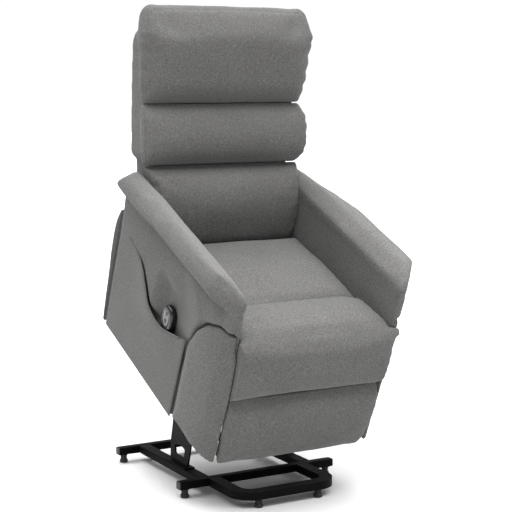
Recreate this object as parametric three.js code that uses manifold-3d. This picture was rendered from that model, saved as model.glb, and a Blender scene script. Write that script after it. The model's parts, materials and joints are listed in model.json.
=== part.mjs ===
// Lift recliner chair: a powered armchair that tilts its whole seat forward to help the sitter stand.
// Millimetres, +Z up, the chair faces -Y. "right" and "left" are the sitter's own sides, so right is -X.
// The rest pose is the raised one. The origin is on the floor below the middle of the chair.
//
// The base stands still. Two pairs of lift arms carry the seat body, which is drawn in its own level frame
// (as it is when lowered) and then tilted and raised by RAISED. The backrest is drawn in a frame of its own
// that starts at the recline hinge.

import * as THREE from 'three';
import { mergeVertices } from 'three/addons/utils/BufferGeometryUtils.js';
import Module from 'manifold-3d';

const wasm = await Module();
wasm.setup();

// ---------------------------------------------------------------- driving dimensions

const RAISED = { tilt: 24.1, y: 198.6, z: 283.6 };      // seat body frame when fully raised
const FRAME_SHIFT_Y = -62.57;                           // puts the origin at the middle of the depth

const TUBE = { height: 26, top: 54, wall: 2 };          // base frame tubes
const RAIL = { inner: 168, outer: 210 };
const CROSSBAR = { length: 564, depth: 30, rearY: 475, frontY: 5 };
const HOOP = { halfWidth: 163, width: 40, frontY: -197.5, bendRadius: 55 };
const FOOT = { radius: 14, height: 27.6 };

const FRONT_PIVOT = [96, 220];                          // lift linkage, on the base: y, z
const REAR_PIVOT = [198, 249];
const FRONT_BODY_PIVOT = [57, 97];                      // lift linkage, on the seat body: y, z
const REAR_BODY_PIVOT = [257, 107];
const TOWER = { inner: 187, outer: 193 };
const FRONT_ARM = { inner: 178, outer: 184 };
const REAR_ARM = { inner: 196, outer: 202 };
const LIFT_PLATE = { inner: 187, outer: 193 };
const PIN_RADIUS = 7;

const ACTUATOR_HINGE = [261, 177];                      // actuator hinge on the seat body: y, z
const BODY_CROSS_TUBE = [290, 185];
const LIFT_TUBE_ALONG = 140;                            // cross tube between the front lift arms
const CRANK = { along: 161, up: 50 };                   // actuator lug on that tube

const SEAT_RAIL = { inner: 240, outer: 261.7, bottom: 300, top: 392, front: -388, rear: 355 };
const ARM = { inner: 262, skin: 271, outer: 310, bottom: 55, top: 575 };
const CUSHION_HALF_WIDTH = 259;

const HINGE = [330, 440];                               // recline hinge on the seat body: y, z
const BACK_ANGLE = 22;

const FOOTREST_PIVOT = [-200, 330];                     // footrest linkage, on the seat body: y, z
const FOOTREST_KNEE = [-225, 86];
const FOOTREST_END = [-375, 280];
const KNEE_LINK = { inner: 228, outer: 234 };
const REACH_LINK = { inner: 218, outer: 224 };

const HANDSET = { y: -30, z: 322, x: -294.5 };

// ---------------------------------------------------------------- materials

const makeMaterial = (color, roughness, metalness) =>
  new THREE.MeshStandardMaterial({ color, roughness, metalness });
const STEEL = () => makeMaterial(0x1d1e20, 0.42, 0.7);
const LINK_STEEL = () => makeMaterial(0x26272a, 0.38, 0.8);
const CHROME = () => makeMaterial(0xb9bcc0, 0.2, 1);
const BLACK_PLASTIC = () => makeMaterial(0x141414, 0.5, 0);
const GLOSS_BLACK = () => makeMaterial(0x0c0c0d, 0.22, 0);
const KEY_PLASTIC = () => makeMaterial(0x303236, 0.4, 0);
const TIMBER = () => makeMaterial(0xb08a5c, 0.75, 0);
const FABRIC = () => makeMaterial(0x8a8986, 0.95, 0);

// ---------------------------------------------------------------- geometry helpers

const radians = THREE.MathUtils.degToRad;

// A closed anticlockwise outline through corners given in either order, with each corner rounded.
function roundedShape(corners, radius) {
  const shape = new THREE.Shape();
  const flat = corners.map(([across, up]) => new THREE.Vector2(across, up));
  const points = THREE.ShapeUtils.area(flat) < 0 ? [...corners].reverse() : corners;
  const count = points.length;
  points.forEach((point, index) => {
    const corner = new THREE.Vector2(point[0], point[1]);
    const before = new THREE.Vector2(...points[(index + count - 1) % count]);
    const after = new THREE.Vector2(...points[(index + 1) % count]);
    const wanted = point[2] ?? radius;
    const reach = Math.min(wanted, corner.distanceTo(before) * 0.48, corner.distanceTo(after) * 0.48);
    const start = corner.clone().add(before.sub(corner).setLength(reach));
    const end = corner.clone().add(after.sub(corner).setLength(reach));
    if (index === 0) shape.moveTo(start.x, start.y);
    else shape.lineTo(start.x, start.y);
    if (reach > 0.01) shape.quadraticCurveTo(corner.x, corner.y, end.x, end.y);
  });
  shape.closePath();
  return shape;
}

// A round hole or outline with a set number of sides.
function circlePath(y, z, radius, sides = 20) {
  const points = Array.from({ length: sides }, (_, index) => {
    const angle = (-index / sides) * Math.PI * 2;
    return new THREE.Vector2(y + radius * Math.cos(angle), z + radius * Math.sin(angle));
  });
  return new THREE.Path().setFromPoints([...points, points[0].clone()]);
}

// Extrudes a shape drawn in (y, z) sideways, from one x to the other.
function acrossX(shape, xFrom, xTo, { bevel = 0, steps = 3, curve = 3 } = {}) {
  const low = Math.min(xFrom, xTo);
  const high = Math.max(xFrom, xTo);
  const geometry = new THREE.ExtrudeGeometry(shape, {
    depth: high - low - 2 * bevel,
    curveSegments: curve,
    bevelEnabled: bevel > 0,
    bevelThickness: bevel,
    bevelSize: bevel,
    bevelOffset: -bevel,
    bevelSegments: steps,
  });
  geometry.translate(0, 0, low + bevel);
  const toYZ = new THREE.Matrix4().makeBasis(
    new THREE.Vector3(0, 1, 0), new THREE.Vector3(0, 0, 1), new THREE.Vector3(1, 0, 0));
  return geometry.applyMatrix4(toYZ);
}

// Extrudes a shape drawn in (x, z) backwards, from the smaller y to the larger.
function acrossY(shape, yFrom, yTo, curve = 3) {
  const geometry = new THREE.ExtrudeGeometry(shape, {
    depth: yTo - yFrom, curveSegments: curve, bevelEnabled: false });
  geometry.rotateX(Math.PI / 2);
  return geometry.translate(0, yTo, 0);
}

function block(xRange, yRange, zRange) {
  const geometry = new THREE.BoxGeometry(
    xRange[1] - xRange[0], yRange[1] - yRange[0], zRange[1] - zRange[0]);
  return geometry.translate(
    (xRange[0] + xRange[1]) / 2, (yRange[0] + yRange[1]) / 2, (zRange[0] + zRange[1]) / 2);
}

// A round bar along x.
function barX(radius, xFrom, xTo, y, z, segments = 18) {
  const geometry = new THREE.CylinderGeometry(radius, radius, Math.abs(xTo - xFrom), segments);
  return geometry.rotateZ(Math.PI / 2).translate((xFrom + xTo) / 2, y, z);
}

// A round tube along x, open at both ends.
function tubeX(radius, wall, xFrom, xTo, y, z) {
  const shape = new THREE.Shape().absarc(y, z, radius, 0, Math.PI * 2, false);
  shape.holes.push(circlePath(y, z, radius - wall, 18));
  return acrossX(shape, xFrom, xTo, { curve: 9 });
}

// The outline of a rounded rectangular tube, with its bore as a hole.
function boxTubeShape(width, height, wall) {
  const corners = (w, h) => [[-w, -h], [w, -h], [w, h], [-w, h]];
  const shape = roundedShape(corners(width / 2, height / 2), 5);
  shape.holes.push(roundedShape(corners(width / 2 - wall, height / 2 - wall), 3));
  return shape;
}

function toSolid(geometry) {
  const plain = geometry.clone();
  plain.deleteAttribute('normal');
  plain.deleteAttribute('uv');
  const merged = mergeVertices(plain, 1e-4);
  return new wasm.Manifold(new wasm.Mesh({
    numProp: 3,
    vertProperties: Float32Array.from(merged.attributes.position.array),
    triVerts: Uint32Array.from(merged.index.array),
  }));
}

function toGeometry(solid) {
  const mesh = solid.getMesh();
  const geometry = new THREE.BufferGeometry();
  geometry.setAttribute('position', new THREE.BufferAttribute(Float32Array.from(mesh.vertProperties), 3));
  geometry.setIndex(new THREE.BufferAttribute(Uint32Array.from(mesh.triVerts), 1));
  const faceted = geometry.toNonIndexed();
  faceted.computeVertexNormals();
  return faceted;
}

const joined = (...pieces) => toGeometry(pieces.map(toSolid).reduce((sum, next) => sum.add(next)));
const shared = (one, other) => toGeometry(toSolid(one).intersect(toSolid(other)));
const cut = (body, ...tools) =>
  toGeometry(tools.map(toSolid).reduce((rest, tool) => rest.subtract(tool), toSolid(body)));

// A padded piece: where its side outline (y, z) meets its front outline (x, z).
const padded = (sideOutline, frontOutline, radius = 24) => shared(
  acrossX(roundedShape(sideOutline, radius), -400, 400, { curve: 5 }),
  acrossY(roundedShape(frontOutline, radius), -600, 600, 5));
const mirrored = (points) => [...points, ...[...points].reverse().map(([x, ...rest]) => [-x, ...rest])];

const chair = new THREE.Group();
chair.position.set(0, FRAME_SHIFT_Y, 0);
const seatBody = new THREE.Group();
seatBody.position.set(0, RAISED.y, RAISED.z);
seatBody.rotation.x = radians(RAISED.tilt);
const backrest = new THREE.Group();
backrest.position.set(0, HINGE[0], HINGE[1]);
backrest.rotation.x = radians(-BACK_ANGLE);
seatBody.add(backrest);
chair.add(seatBody);

function place(group, name, geometry, material) {
  const mesh = new THREE.Mesh(geometry, material);
  mesh.name = name;
  group.add(mesh);
  return mesh;
}

const SIDES = [['right', -1], ['left', 1]];

// Where a point of the seat body is when the chair is raised.
function raised([y, z]) {
  const angle = radians(RAISED.tilt);
  return [
    y * Math.cos(angle) - z * Math.sin(angle) + RAISED.y,
    y * Math.sin(angle) + z * Math.cos(angle) + RAISED.z,
  ];
}

// The seat body's own coordinates of a point given in the raised chair.
function seatPoint([y, z]) {
  const angle = radians(-RAISED.tilt);
  const fromBody = [y - RAISED.y, z - RAISED.z];
  return [
    fromBody[0] * Math.cos(angle) - fromBody[1] * Math.sin(angle),
    fromBody[0] * Math.sin(angle) + fromBody[1] * Math.cos(angle),
  ];
}

// ---------------------------------------------------------------- base frame

const tubeMiddle = TUBE.top - TUBE.height / 2;
const railLength = CROSSBAR.rearY - CROSSBAR.frontY - CROSSBAR.depth - 0.6;
const crossbarShape = boxTubeShape(CROSSBAR.depth, TUBE.height, TUBE.wall);
for (const [name, y] of [['front', CROSSBAR.frontY], ['rear', CROSSBAR.rearY]]) {
  const crossbar = acrossX(crossbarShape, -CROSSBAR.length / 2, CROSSBAR.length / 2);
  place(chair, `base_${name}_crossbar`, crossbar, STEEL()).position.set(0, y, tubeMiddle);
}
for (const [side, sign] of SIDES) {
  const rail = new THREE.ExtrudeGeometry(boxTubeShape(RAIL.outer - RAIL.inner, TUBE.height, TUBE.wall), {
    depth: railLength, curveSegments: 3, bevelEnabled: false });
  rail.rotateX(Math.PI / 2);
  const mesh = place(chair, `base_rail_${side}`, rail, STEEL());
  mesh.position.set(
    sign * (RAIL.inner + RAIL.outer) / 2, CROSSBAR.rearY - CROSSBAR.depth / 2 - 0.3, tubeMiddle);
}

// The front hoop is one flat tube bent into a U that runs forward from the front crossbar.
function hoopOutline(width) {
  const outside = HOOP.halfWidth + width / 2;
  const inside = HOOP.halfWidth - width / 2;
  const bend = (halfWidth) => HOOP.bendRadius + halfWidth - HOOP.halfWidth;
  const back = CROSSBAR.frontY - CROSSBAR.depth / 2 - 0.3;
  const shape = new THREE.Shape();
  shape.moveTo(-outside, back);
  shape.lineTo(-outside, HOOP.frontY - width / 2 + bend(outside));
  shape.absarc(-outside + bend(outside), HOOP.frontY - width / 2 + bend(outside), bend(outside),
    Math.PI, Math.PI * 1.5, false);
  shape.absarc(outside - bend(outside), HOOP.frontY - width / 2 + bend(outside), bend(outside),
    Math.PI * 1.5, Math.PI * 2, false);
  shape.lineTo(outside, back);
  shape.lineTo(inside, back);
  shape.absarc(inside - bend(inside), HOOP.frontY + width / 2 + bend(inside), bend(inside),
    Math.PI * 2, Math.PI * 1.5, true);
  shape.absarc(-inside + bend(inside), HOOP.frontY + width / 2 + bend(inside), bend(inside),
    Math.PI * 1.5, Math.PI, true);
  shape.lineTo(-inside, back);
  return shape;
}
const flatTube = (width, height) => new THREE.ExtrudeGeometry(hoopOutline(width), {
  depth: height, curveSegments: 9, bevelEnabled: false }).translate(0, 0, tubeMiddle - height / 2);
const hoopBore = flatTube(HOOP.width - 2 * TUBE.wall, TUBE.height - 2 * TUBE.wall).translate(0, 0.01, 0);
place(chair, 'base_front_hoop', cut(flatTube(HOOP.width, TUBE.height), hoopBore), STEEL());

const footProfile = [
  [0, 0], [FOOT.radius - 2, 0], [FOOT.radius, 2], [FOOT.radius, 9], [FOOT.radius - 3, 12],
  [FOOT.radius - 3, FOOT.height - 4], [FOOT.radius - 1, FOOT.height - 3],
  [FOOT.radius - 1, FOOT.height], [0, FOOT.height],
].map(([radius, height]) => new THREE.Vector2(radius, height));
const footPlaces = [
  ['front', HOOP.halfWidth - HOOP.bendRadius, HOOP.frontY],
  ['middle', 262, CROSSBAR.frontY],
  ['rear', 262, CROSSBAR.rearY],
];
for (const [row, x, y] of footPlaces) {
  for (const [side, sign] of SIDES) {
    const foot = new THREE.LatheGeometry(footProfile, 14).rotateX(Math.PI / 2);
    place(chair, `foot_${row}_${side}`, foot, BLACK_PLASTIC()).position.set(sign * x, y, 0);
  }
}

// ---------------------------------------------------------------- lift linkage

// Each tower is a welded plate on the rail: a leaning front leg and an upright rear leg,
// each ending in a pivot.
const towerOutline = [
  [124, 58.2, 2], [78, 205, 22], [84, 241, 16], [108, 241, 14], [124, 212, 10], [150, 150, 14],
  [176, 232, 12], [184, 268, 16], [212, 268, 16], [221, 240, 14], [228, 190, 20], [246, 120, 12],
  [246, 58.2, 2],
];
for (const [side, sign] of SIDES) {
  const shape = roundedShape(towerOutline, 8);
  shape.holes.push(circlePath(FRONT_PIVOT[0], FRONT_PIVOT[1], PIN_RADIUS + 0.4));
  shape.holes.push(circlePath(REAR_PIVOT[0], REAR_PIVOT[1], PIN_RADIUS + 0.4));
  shape.holes.push(roundedShape([[150, 84], [212, 84], [216, 116], [170, 122], [140, 112]], 8));
  const plate = acrossX(shape, sign * TOWER.inner, sign * TOWER.outer);
  const foot = block(
    [Math.min(sign * 172, sign * 206), Math.max(sign * 172, sign * 206)], [112, 252],
    [TUBE.top + 0.3, 58.5]);
  place(chair, `lift_tower_${side}`, joined(plate, foot), LINK_STEEL());
}

// A flat link between two pins, as a stadium outline in (y, z).
function linkShape(from, to, halfWidth) {
  const along = Math.atan2(to[1] - from[1], to[0] - from[0]);
  const shape = new THREE.Shape();
  shape.absarc(to[0], to[1], halfWidth, along - Math.PI / 2, along + Math.PI / 2, false);
  shape.absarc(from[0], from[1], halfWidth, along + Math.PI / 2, along + Math.PI * 1.5, false);
  shape.closePath();
  return shape;
}

const frontTop = raised(FRONT_BODY_PIVOT);
const rearTop = raised(REAR_BODY_PIVOT);
const LINK_HALF_WIDTH = 15;

function pointAlong(from, to, distance, sideways = 0) {
  const angle = Math.atan2(to[1] - from[1], to[0] - from[0]);
  return [
    from[0] + distance * Math.cos(angle) - sideways * Math.sin(angle),
    from[1] + distance * Math.sin(angle) + sideways * Math.cos(angle),
  ];
}

for (const [side, sign] of SIDES) {
  const outline = linkShape(FRONT_PIVOT, frontTop, LINK_HALF_WIDTH);
  const arm = acrossX(outline, sign * FRONT_ARM.inner, sign * FRONT_ARM.outer, { curve: 8 });
  const lowerPin = barX(PIN_RADIUS, sign * 181, sign * 195, ...FRONT_PIVOT);
  const upperPin = barX(PIN_RADIUS, sign * 181, sign * 195, ...frontTop);
  place(chair, `front_lift_arm_${side}`, joined(arm, lowerPin, upperPin), LINK_STEEL());
}

for (const [side, sign] of SIDES) {
  const outline = linkShape(REAR_PIVOT, rearTop, LINK_HALF_WIDTH);
  const arm = acrossX(outline, sign * REAR_ARM.inner, sign * REAR_ARM.outer, { curve: 8 });
  const lowerPin = barX(PIN_RADIUS, sign * 185, sign * 199, ...REAR_PIVOT);
  const upperPin = barX(PIN_RADIUS, sign * 185, sign * 199, ...rearTop);
  place(chair, `rear_lift_arm_${side}`, joined(arm, lowerPin, upperPin), LINK_STEEL());
}

// A hollow cross tube with a pair of drilled ears that reach from it to a pin.
function eyedTube(halfLength, tubeAt, pinAt, earInner) {
  const ears = [-1, 1].map((sign) => {
    const shape = linkShape(tubeAt, pinAt, 14);
    shape.holes.push(circlePath(pinAt[0], pinAt[1], 6.4));
    return acrossX(shape, sign * earInner, sign * (earInner + 5), { curve: 6 });
  });
  const bore = barX(9.5, -halfLength - 1, halfLength + 1, ...tubeAt);
  return cut(joined(barX(12, -halfLength, halfLength, ...tubeAt), ...ears), bore);
}

const liftTube = pointAlong(FRONT_PIVOT, frontTop, LIFT_TUBE_ALONG);
const crankPin = pointAlong(FRONT_PIVOT, frontTop, CRANK.along, CRANK.up);
place(chair, 'front_lift_cross_tube',
  eyedTube(FRONT_ARM.inner - 0.3, liftTube, crankPin, 13), STEEL());

// ---------------------------------------------------------------- lift actuator

place(seatBody, 'body_cross_tube',
  eyedTube(LIFT_PLATE.inner - 0.3, BODY_CROSS_TUBE, ACTUATOR_HINGE, 14), STEEL());

// The actuator hangs from the seat body and pushes on the lug of the front lift arms. It lies along
// its own +Y: rear eye, gear housing with the motor beside it, outer tube and rod.
const crankInBody = seatPoint(crankPin);
const actuatorReach = [crankInBody[0] - ACTUATOR_HINGE[0], crankInBody[1] - ACTUATOR_HINGE[1]];
const actuatorLength = Math.hypot(...actuatorReach);
const actuator = new THREE.Group();
actuator.position.set(0, ...ACTUATOR_HINGE);
actuator.rotation.x = Math.atan2(actuatorReach[1], actuatorReach[0]);
seatBody.add(actuator);

const alongY = (radius, from, to, x, segments = 20) =>
  new THREE.CylinderGeometry(radius, radius, to - from, segments).translate(x, (from + to) / 2, 0);
const housing = cut(
  joined(
    acrossX(linkShape([0, 0], [28, 0], 10), -12, 12, { curve: 8 }),
    barX(6, -18.5, 18.5, 0, 0),
    acrossX(roundedShape([[22, -21], [64, -21], [64, 21], [22, 21]], 8), -76, 24),
    alongY(16, 60, 196, 0),
    alongY(22, 60, 160, -50),
  ),
  alongY(10.8, 88, 210, 0),
);
place(actuator, 'actuator_housing', housing, BLACK_PLASTIC());
const rod = joined(
  alongY(10, actuatorLength - 122, actuatorLength - 8, 0),
  barX(12, -8, 8, actuatorLength, 0),
  barX(5.5, -12.4, 12.4, actuatorLength, 0),
);
place(actuator, 'actuator_rod', rod, CHROME());

// ---------------------------------------------------------------- seat body: frame and lift plates

for (const [side, sign] of SIDES) {
  const shape = roundedShape([
    [40, 80, 14], [276, 86, 16], [290, 140, 30], [331, 190, 16], [331, 334], [58, 334], [58, 196, 20],
    [40, 130, 20],
  ], 10);
  shape.holes.push(circlePath(FRONT_BODY_PIVOT[0], FRONT_BODY_PIVOT[1], PIN_RADIUS + 0.4));
  shape.holes.push(circlePath(REAR_BODY_PIVOT[0], REAR_BODY_PIVOT[1], PIN_RADIUS + 3));
  shape.holes.push(roundedShape([[94, 150], [222, 150], [230, 270], [94, 270]], 20));
  const plate = acrossX(shape, sign * LIFT_PLATE.inner, sign * LIFT_PLATE.outer);
  const flangeX = [sign * 190, sign * (SEAT_RAIL.inner - 0.3)].sort((a, b) => a - b);
  const flange = block(flangeX, [62, 326], [SEAT_RAIL.bottom + 4, SEAT_RAIL.bottom + 10]);
  place(seatBody, `lift_plate_${side}`, joined(plate, flange), LINK_STEEL());

  const railX = [sign * SEAT_RAIL.inner, sign * SEAT_RAIL.outer].sort((a, b) => a - b);
  const rail = block(railX, [SEAT_RAIL.front, SEAT_RAIL.rear], [SEAT_RAIL.bottom, SEAT_RAIL.top]);
  const pivotHole = barX(8.3, sign * 235, sign * 255, ...FOOTREST_PIVOT);
  place(seatBody, `seat_rail_${side}`, cut(rail, pivotHole), TIMBER());
}
const acrossSeat = [0.3 - SEAT_RAIL.inner, SEAT_RAIL.inner - 0.3];
place(seatBody, 'seat_front_rail',
  block(acrossSeat, [SEAT_RAIL.front, SEAT_RAIL.front + 22], [335, SEAT_RAIL.top]), TIMBER());
place(seatBody, 'seat_rear_rail',
  block(acrossSeat, [SEAT_RAIL.rear - 22, SEAT_RAIL.rear], [335, SEAT_RAIL.top]), TIMBER());

// Zigzag seat springs, each one bent wire from the front rail to the rear rail.
const SPRING = { count: 3, spread: 300, wire: 2.2, swing: 22, pitch: 32, height: 384 };
const springStart = SEAT_RAIL.front + 24;
const springEnd = SEAT_RAIL.rear - 24;
const springTurns = Math.round((springEnd - springStart) / SPRING.pitch);
for (let index = 0; index < SPRING.count; index += 1) {
  const middle = SPRING.spread * (index / (SPRING.count - 1) - 0.5);
  const bends = [];
  for (let turn = 0; turn <= springTurns; turn += 1) {
    const share = turn / springTurns;
    const sideways = turn === 0 || turn === springTurns ? 0 : SPRING.swing * (turn % 2 ? 1 : -1);
    const crown = 5 * Math.sin(Math.PI * share);
    bends.push(new THREE.Vector3(
      middle + sideways, springStart + share * (springEnd - springStart), SPRING.height + crown));
  }
  const wire = new THREE.ExtrudeGeometry(
    new THREE.Shape().absarc(0, 0, SPRING.wire, 0, Math.PI * 2, false),
    { steps: springTurns * 2, curveSegments: 3, extrudePath: new THREE.CatmullRomCurve3(bends) });
  place(seatBody, `seat_spring_${index + 1}`, wire, LINK_STEEL());
}

// ---------------------------------------------------------------- seat body: arms

const armOutline = [
  [-170, ARM.bottom, 4], [372, ARM.bottom, 6], [379, 236, 30], [379, 380, 30], [384, 500, 20],
  [392, ARM.top, 4],
  [-398, ARM.top, 12], [-404, 507, 4], [-340, 503, 8], [-262, 468, 8], [-213, 418, 8], [-184, 358, 8],
  [-171, 340, 4],
];
const innerOutline = [
  [-402, ARM.bottom + 40, 4], [370, ARM.bottom + 40, 4], [377, 236, 30], [377, 380, 30], [384, 500, 20],
  [392, ARM.top, 4], [-392, ARM.top, 10], [-402, 520, 20],
];
// Seen from above, the front of each arm is rounded off towards its outer side.
const panelShoulder = [[304, -384, 20], [304, -350, 24], [ARM.outer, -310, 30], [ARM.outer, 400, 10]];
const padShoulder = [[308, -368, 20], [346, -324, 24], [352, -250, 30], [352, 400, 10]];
const planSolid = (sign, shoulder) => {
  const plan = [[ARM.inner, -402, 6], [284, -402, 12], ...shoulder, [ARM.inner, 400, 2]];
  return new THREE.ExtrudeGeometry(
    roundedShape(plan.map(([x, y, radius]) => [sign * x, y, radius]), 10),
    { depth: 700, curveSegments: 5, bevelEnabled: false });
};
const bolsterOutline = [
  [-419, 56, 8], [-177, 56, 8], [-179, 335, 10], [-192, 361, 14], [-220, 419, 20], [-266, 463, 20],
  [-340, 496, 20],
  [-400, 499, 14], [-402, 450, 8], [-416, 424, 20], [-424, 300, 40],
];

// The hollow behind the pocket's front panel: it narrows to nothing above the panel's edge.
const POCKET = { back: 283, front: 306, outer: 310, floor: 150 };
const pocketEdge = [
  [341, 452, 4], [258, 430, 30], [179, 409, 30], [136, 366, 20], [87, 312, 20], [33, 295, 20],
  [-26, 292, 20], [-108, 318, 30], [-172, 342, 4],
];
const pocketOutline = [
  [-171.5, ARM.bottom, 4], [366, ARM.bottom, 4], [373, 236, 30], [373, 380, 30],
  [376, 462, 6], ...pocketEdge];
const pocketHollow = acrossY(roundedShape([
  [-POCKET.back, POCKET.floor, 8], [-ARM.outer - 2, POCKET.floor - 4, 1], [-ARM.outer - 2, 486, 1],
  [-POCKET.back, 412, 20],
], 4), -165, 330);

for (const [side, sign] of SIDES) {
  const panelSlab = acrossX(roundedShape(armOutline, 8), sign * (ARM.skin + 1), sign * ARM.outer);
  let panel = shared(panelSlab, planSolid(sign, panelShoulder));
  if (side === 'right') {
    const skinSpace = acrossX(
      roundedShape(
        [[-188, 50], [400, 50], [402, 470], [376, 470], ...pocketEdge.slice(0, -1), [-188, 352]], 4),
      -POCKET.front, -ARM.outer - 2);
    const mouth = acrossX(
      roundedShape(
        [[-160, 140], [330, 140], [330, 446], [250, 452], [120, 452], [-60, 430], [-160, 380]], 20),
      -POCKET.back + 2, -ARM.outer - 4);
    panel = cut(panel, skinSpace, shared(pocketHollow, mouth));
  }
  place(seatBody, `arm_side_panel_${side}`, panel, FABRIC());

  const hingeHole = barX(8.3, sign * (ARM.inner - 4), sign * (ARM.skin + 4), ...HINGE);
  const inner = acrossX(roundedShape(innerOutline, 8), sign * ARM.inner, sign * ARM.skin);
  place(seatBody, `arm_inner_panel_${side}`, cut(inner, hingeHole), FABRIC());

  const bolsterTop = new THREE.ExtrudeGeometry(roundedShape([
    [sign * (ARM.skin + 1), -430, 3], [sign * (ARM.skin + 9), -430, 8], [sign * 306, -374, 40],
    [sign * (ARM.outer + 5), -300, 60],
    [sign * (ARM.outer + 1), -170, 20], [sign * (ARM.skin + 1), -170, 2],
  ], 10), { depth: 520, curveSegments: 4, bevelEnabled: false });
  const bolster = shared(acrossX(roundedShape(bolsterOutline, 12), -350, 350, { curve: 4 }), bolsterTop);
  place(seatBody, `arm_front_bolster_${side}`, bolster, FABRIC());

  const padSection = roundedShape([
    [262, 577, 2], [262, 616, 16], [286, 644, 24], [312, 670, 20], [330, 676, 16], [346, 650, 20],
    [351, 606, 20], [338, 577, 14],
  ].map(([x, z, radius]) => [sign * x, z, radius]), 10);
  const padSide = acrossX(roundedShape([
    [-396, 577, 6], [-399, 606, 20], [-384, 640, 30], [-346, 668, 40], [-200, 690, 90], [60, 684, 90],
    [270, 655, 60], [392, 636, 30], [398, 577, 6],
  ], 10), sign * 250, sign * 360, { curve: 4 });
  const pad = shared(shared(acrossY(padSection, -440, 400, 5), padSide), planSolid(sign, padShoulder));
  place(seatBody, `arm_pad_${side}`, pad, FABRIC());
}

place(seatBody, 'handset_pocket_panel',
  acrossX(roundedShape(pocketOutline, 8), 0.3 - ARM.outer, 0.3 - POCKET.outer + 3.6), FABRIC());

// The rear panel is bowed: it stands out most at two thirds of its height.
place(seatBody, 'rear_panel', acrossX(roundedShape([
  [381, 56, 3], [398, 56, 3], [412, 218, 60], [428, 332, 60], [424, 430, 40], [402, 482, 12], [391, 486, 4],
  [386, 472, 4], [384, 236, 30],
], 3), -308, 308), FABRIC());

// ---------------------------------------------------------------- seat body: cushions

const cushionFront = (bottom, top) =>
  mirrored([[CUSHION_HALF_WIDTH, bottom, 16], [CUSHION_HALF_WIDTH, top, 34]]);
place(seatBody, 'seat_cushion', padded([
  [-206, 396, 14], [-206, 470, 26], [-186, 484, 24], [0, 486, 90], [150, 470, 40], [204, 462, 24],
  [204, 396, 14],
], cushionFront(394, 492)), FABRIC());
place(seatBody, 'seat_front_cushion', padded([
  [-401, 397, 10], [-401, 486, 20], [-380, 500, 26], [-300, 503, 50], [-226, 490, 24], [-208, 470, 20],
  [-208, 397, 10],
], cushionFront(394, 505)), FABRIC());

// ---------------------------------------------------------------- handset

const handset = new THREE.Group();
handset.position.set(HANDSET.x, HANDSET.y, HANDSET.z);
seatBody.add(handset);
const HANDSET_HALF = { depth: 10.4, width: 31, height: 52 };
const handsetOutline = roundedShape([
  [-HANDSET_HALF.width, -HANDSET_HALF.height], [HANDSET_HALF.width, -HANDSET_HALF.height],
  [HANDSET_HALF.width, HANDSET_HALF.height], [-HANDSET_HALF.width, HANDSET_HALF.height],
], 42);
const handsetShell = acrossX(
  handsetOutline, -HANDSET_HALF.depth, HANDSET_HALF.depth, { bevel: 5, steps: 2, curve: 6 });
const BUTTON = { radius: 7, spacing: 13, middle: 14 };
const keyWells = [-1, 1].map((step) =>
  barX(BUTTON.radius + 0.4, -HANDSET_HALF.depth - 1, -4, 0, BUTTON.middle + step * BUTTON.spacing, 18));
place(handset, 'handset_body', cut(handsetShell, ...keyWells), GLOSS_BLACK());
for (const [name, step] of [['lower', -1], ['raise', 1]]) {
  const height = BUTTON.middle + step * BUTTON.spacing;
  const key = barX(BUTTON.radius, -HANDSET_HALF.depth - 1.2, -6.2, 0, height, 18);
  place(handset, `handset_button_${name}`, key, KEY_PLASTIC());
}

// ---------------------------------------------------------------- backrest

// In this frame y runs backwards through the padding and z runs up the back, both from the recline hinge.
const shell = padded([
  [-57, 92, 8], [38, 92, 20], [47, 200, 60], [48, 380, 80], [40, 620, 40], [22, 668, 24],
  [-30, 672, 20], [-57, 664, 8],
], mirrored([[256, 90, 10], [256, 232, 8], [275, 250, 12], [275, 640, 50], [240, 676, 30]]), 10);
const boardSpace = block([-241, 241], [-70, -22], [40, 645]);
place(backrest, 'back_shell', cut(shell, boardSpace), FABRIC());

const board = block([-239, 239], [-50, -30], [20, 640]);
const backLugs = SIDES.flatMap(([, sign]) => [
  acrossX(roundedShape([[-31, 90], [-31, 20], [-14, -14, 12], [14, -14, 12], [14, 14, 10], [-10, 90, 12]], 6),
    sign * 233, sign * 238.9),
  barX(8, sign * 238, sign * 268, 0, 0),
]);
place(backrest, 'back_frame', joined(board, ...backLugs), TIMBER());

// The three pillows, from the head down.
place(backrest, 'head_pillow', padded([
  [-60, 420, 14], [-60, 704, 20], [-88, 734, 30], [-140, 722, 36], [-170, 650, 60], [-144, 545, 60],
  [-124, 470, 40], [-98, 420, 24],
], mirrored([[296, 410, 30], [302, 500, 60], [303, 650, 60], [286, 734, 44]])), FABRIC());
place(backrest, 'middle_pillow', padded([
  [-60, 220, 14], [-60, 417, 14], [-98, 416, 26], [-132, 380, 40], [-140, 300, 50], [-134, 250, 30],
  [-104, 220, 26],
], mirrored([[288, 214, 30], [301, 300, 60], [294, 424, 30]])), FABRIC());
place(backrest, 'lumbar_pillow', padded([
  [-60, -34, 24], [-60, 217, 14], [-106, 217, 24], [-140, 186, 40], [-156, 110, 60], [-140, 20, 50],
  [-100, -40, 36],
], mirrored([[236, -44, 30], [257, 0, 30], [257, 150, 20], [264, 196, 20], [286, 220, 10]])), FABRIC());

// ---------------------------------------------------------------- footrest

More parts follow.
